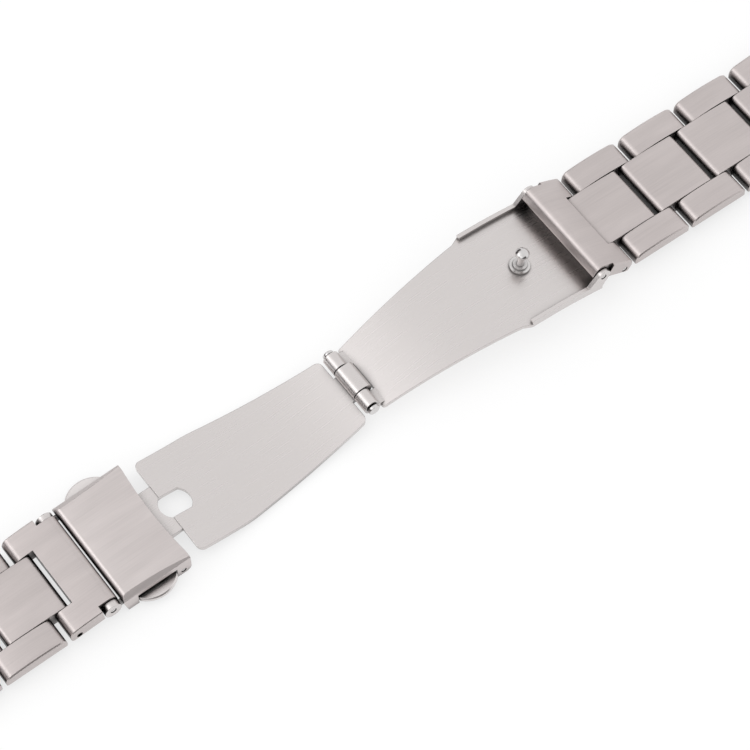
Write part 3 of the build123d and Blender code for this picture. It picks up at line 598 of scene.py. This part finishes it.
class BRACELET_OT_turn_pins(bpy.types.Operator):
    """Turn the clasp's pins, with rounded ends and centre marks"""

    bl_idname = "bracelet.turn_pins"
    bl_label = "Turn the pins"

    def execute(self, context):
        for node, body in PINS.items():
            low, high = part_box(node)
            radius = (high.z - low.z) / 2
            mesh = turned(pin_profile((high.y - low.y) / 2, radius, node), sizes().turned_sides)
            moved(mesh, (low + high) / 2)
            new_piece(f"{node}_turned", mesh, body, "polished_steel", polished(), node)
        return {"FINISHED"}


class BRACELET_OT_set_stage(bpy.types.Operator):
    """Set the table, the softboxes, the world and the camera"""

    bl_idname = "bracelet.set_stage"
    bl_label = "Set the stage"

    def execute(self, context):
        stage = context.scene.bracelet_stage
        self.table(stage)
        self.ring(stage)
        for name, place, size, power in SOFTBOXES:
            self.softbox(name, place, size, getattr(stage, power))
        self.world()
        self.camera(stage)
        context.scene.view_settings.view_transform = "Standard"
        return {"FINISHED"}

    def table(self, stage):
        """Pale round table that keeps the band's shadow."""
        mesh = bmesh.new()
        bmesh.ops.create_circle(mesh, cap_ends=True, radius=stage.table_radius, segments=TABLE_SIDES)
        table = mesh_object("Table", mesh)
        lowest_corner = cad_box[0]
        table.location.z = lowest_corner[2] - stage.table_gap
        shading = Shading("pale_table")
        shading.shader.inputs["Roughness"].default_value = 0.9
        shading.shader.inputs["Specular IOR Level"].default_value = 0
        shading.shader.inputs["Base Color"].default_value = (*stage.table_colour, 1)
        paper = shading.add("ShaderNodeEmission")
        paper.inputs["Strength"].default_value = 1
        path = shading.add("ShaderNodeLightPath")
        seen = path.outputs["Is Camera Ray"]
        for kind in ("Is Glossy Ray", "Is Transmission Ray"):
            either = shading.add("ShaderNodeMath", operation="MAXIMUM")
            shading.link(seen, either.inputs[0])
            shading.link(path.outputs[kind], either.inputs[1])
            seen = either.outputs["Value"]
        mix = shading.add("ShaderNodeMixShader")
        shading.link(shading.ranged(seen, 0, 1, 0, stage.paper_share), mix.inputs["Fac"])
        shading.link(shading.shader.outputs["BSDF"], mix.inputs[1])
        shading.link(paper.outputs["Emission"], mix.inputs[2])
        shading.link(mix.outputs["Shader"], shading.tree.nodes["Material Output"].inputs["Surface"])
        table.data.materials.append(shading.material)

    def ring(self, stage):
        """Dark surround that only mirrors in the steel, as the room round a photographer's table does."""
        mesh = bmesh.new()
        around = math.tau - 2 * stage.ring_opening
        foot = []
        for step in range(SURROUND_STEPS + 1):
            angle = stage.ring_opening + around * step / SURROUND_STEPS
            foot.append(mesh.verts.new(
                (stage.ring_radius * math.cos(angle), stage.ring_radius * math.sin(angle), stage.ring_low)
            ))
        for pair in zip(foot, foot[1:]):
            mesh.edges.new(pair)
        wall = bmesh.ops.extrude_edge_only(mesh, edges=mesh.edges[:])
        upper = [entry for entry in wall["geom"] if isinstance(entry, bmesh.types.BMVert)]
        bmesh.ops.translate(mesh, verts=upper, vec=(0, 0, stage.ring_high - stage.ring_low))
        ring = mesh_object("Surround", mesh)
        ring.visible_camera = ring.visible_diffuse = ring.visible_shadow = False
        shading = Shading("dark_surround")
        shading.shader.inputs["Base Color"].default_value = (*stage.ring_colour, 1)
        shading.shader.inputs["Roughness"].default_value = 1
        ring.data.materials.append(shading.material)

    def softbox(self, name, place, size, power):
        """Rectangular lamp that looks at the middle of the band."""
        lamp = bpy.data.lights.new(name, "AREA")
        lamp.shape = "RECTANGLE"
        lamp.size, lamp.size_y = size
        lamp.energy = power
        holder = bpy.data.objects.new(name, lamp)
        holder.location = place
        holder.rotation_euler = (-Vector(place)).to_track_quat("-Z", "Y").to_euler()
        bpy.context.scene.collection.objects.link(holder)

    def world(self):
        """Even white light from all round."""
        world = bpy.data.worlds.new("Studio")
        bpy.context.scene.world = world
        world.use_nodes = True
        back = world.node_tree.nodes["Background"]
        back.inputs["Color"].default_value = (1, 1, 1, 1)
        back.inputs["Strength"].default_value = 1

    def camera(self, stage):
        """Camera at the photograph's viewing angle."""
        lens = bpy.data.cameras.new("Camera")
        lens.angle = stage.view_angle
        lens.clip_start, lens.clip_end = 0.05, 20
        camera = bpy.data.objects.new("Camera", lens)
        back = Vector(stage.camera_back).normalized()
        up = back.cross(Vector(stage.camera_right)).normalized()
        right = up.cross(back)
        turn = Matrix((right, up, back)).transposed()
        camera.matrix_world = Matrix.Translation(stage.camera_place) @ turn.to_4x4()
        bpy.context.scene.collection.objects.link(camera)
        bpy.context.scene.camera = camera


OPERATORS = (
    BRACELET_OT_finish_steel, BRACELET_OT_make_springs, BRACELET_OT_turn_pins, BRACELET_OT_set_stage,
)


class BRACELET_PT_panel(bpy.types.Panel):
    """Sidebar panel with the bracelet's steps, sizes and finishes"""

    bl_idname = "BRACELET_PT_panel"
    bl_label = "Link watch bracelet"
    bl_space_type = "VIEW_3D"
    bl_region_type = "UI"
    bl_category = "Bracelet"

    def draw(self, context):
        layout = self.layout
        for step in OPERATORS:
            layout.operator(step.bl_idname)
        for group in (context.scene.bracelet_sizes, context.scene.bracelet_finishes, context.scene.bracelet_stage):
            for entry in group.bl_rna.properties:
                if not entry.is_readonly and entry.identifier != "name":
                    layout.prop(group, entry.identifier)


GROUPS = {
    "bracelet_sizes": BraceletSizes,
    "bracelet_finishes": BraceletFinishes,
    "bracelet_stage": BraceletStage,
}


def register():
    """Register the classes and hang their properties on the scene."""
    for entry in (*GROUPS.values(), *OPERATORS, BRACELET_PT_panel):
        bpy.utils.register_class(entry)
    for name, group in GROUPS.items():
        setattr(bpy.types.Scene, name, PointerProperty(type=group))


def unregister():
    """Take the properties and classes away again."""
    for name in GROUPS:
        delattr(bpy.types.Scene, name)
    for entry in reversed((*GROUPS.values(), *OPERATORS, BRACELET_PT_panel)):
        bpy.utils.unregister_class(entry)


def main():
    """Build the looks."""
    register()
    bpy.ops.bracelet.finish_steel()
    bpy.ops.bracelet.make_springs()
    bpy.ops.bracelet.turn_pins()
    bpy.ops.bracelet.set_stage()


if __name__ == "__main__":
    main()
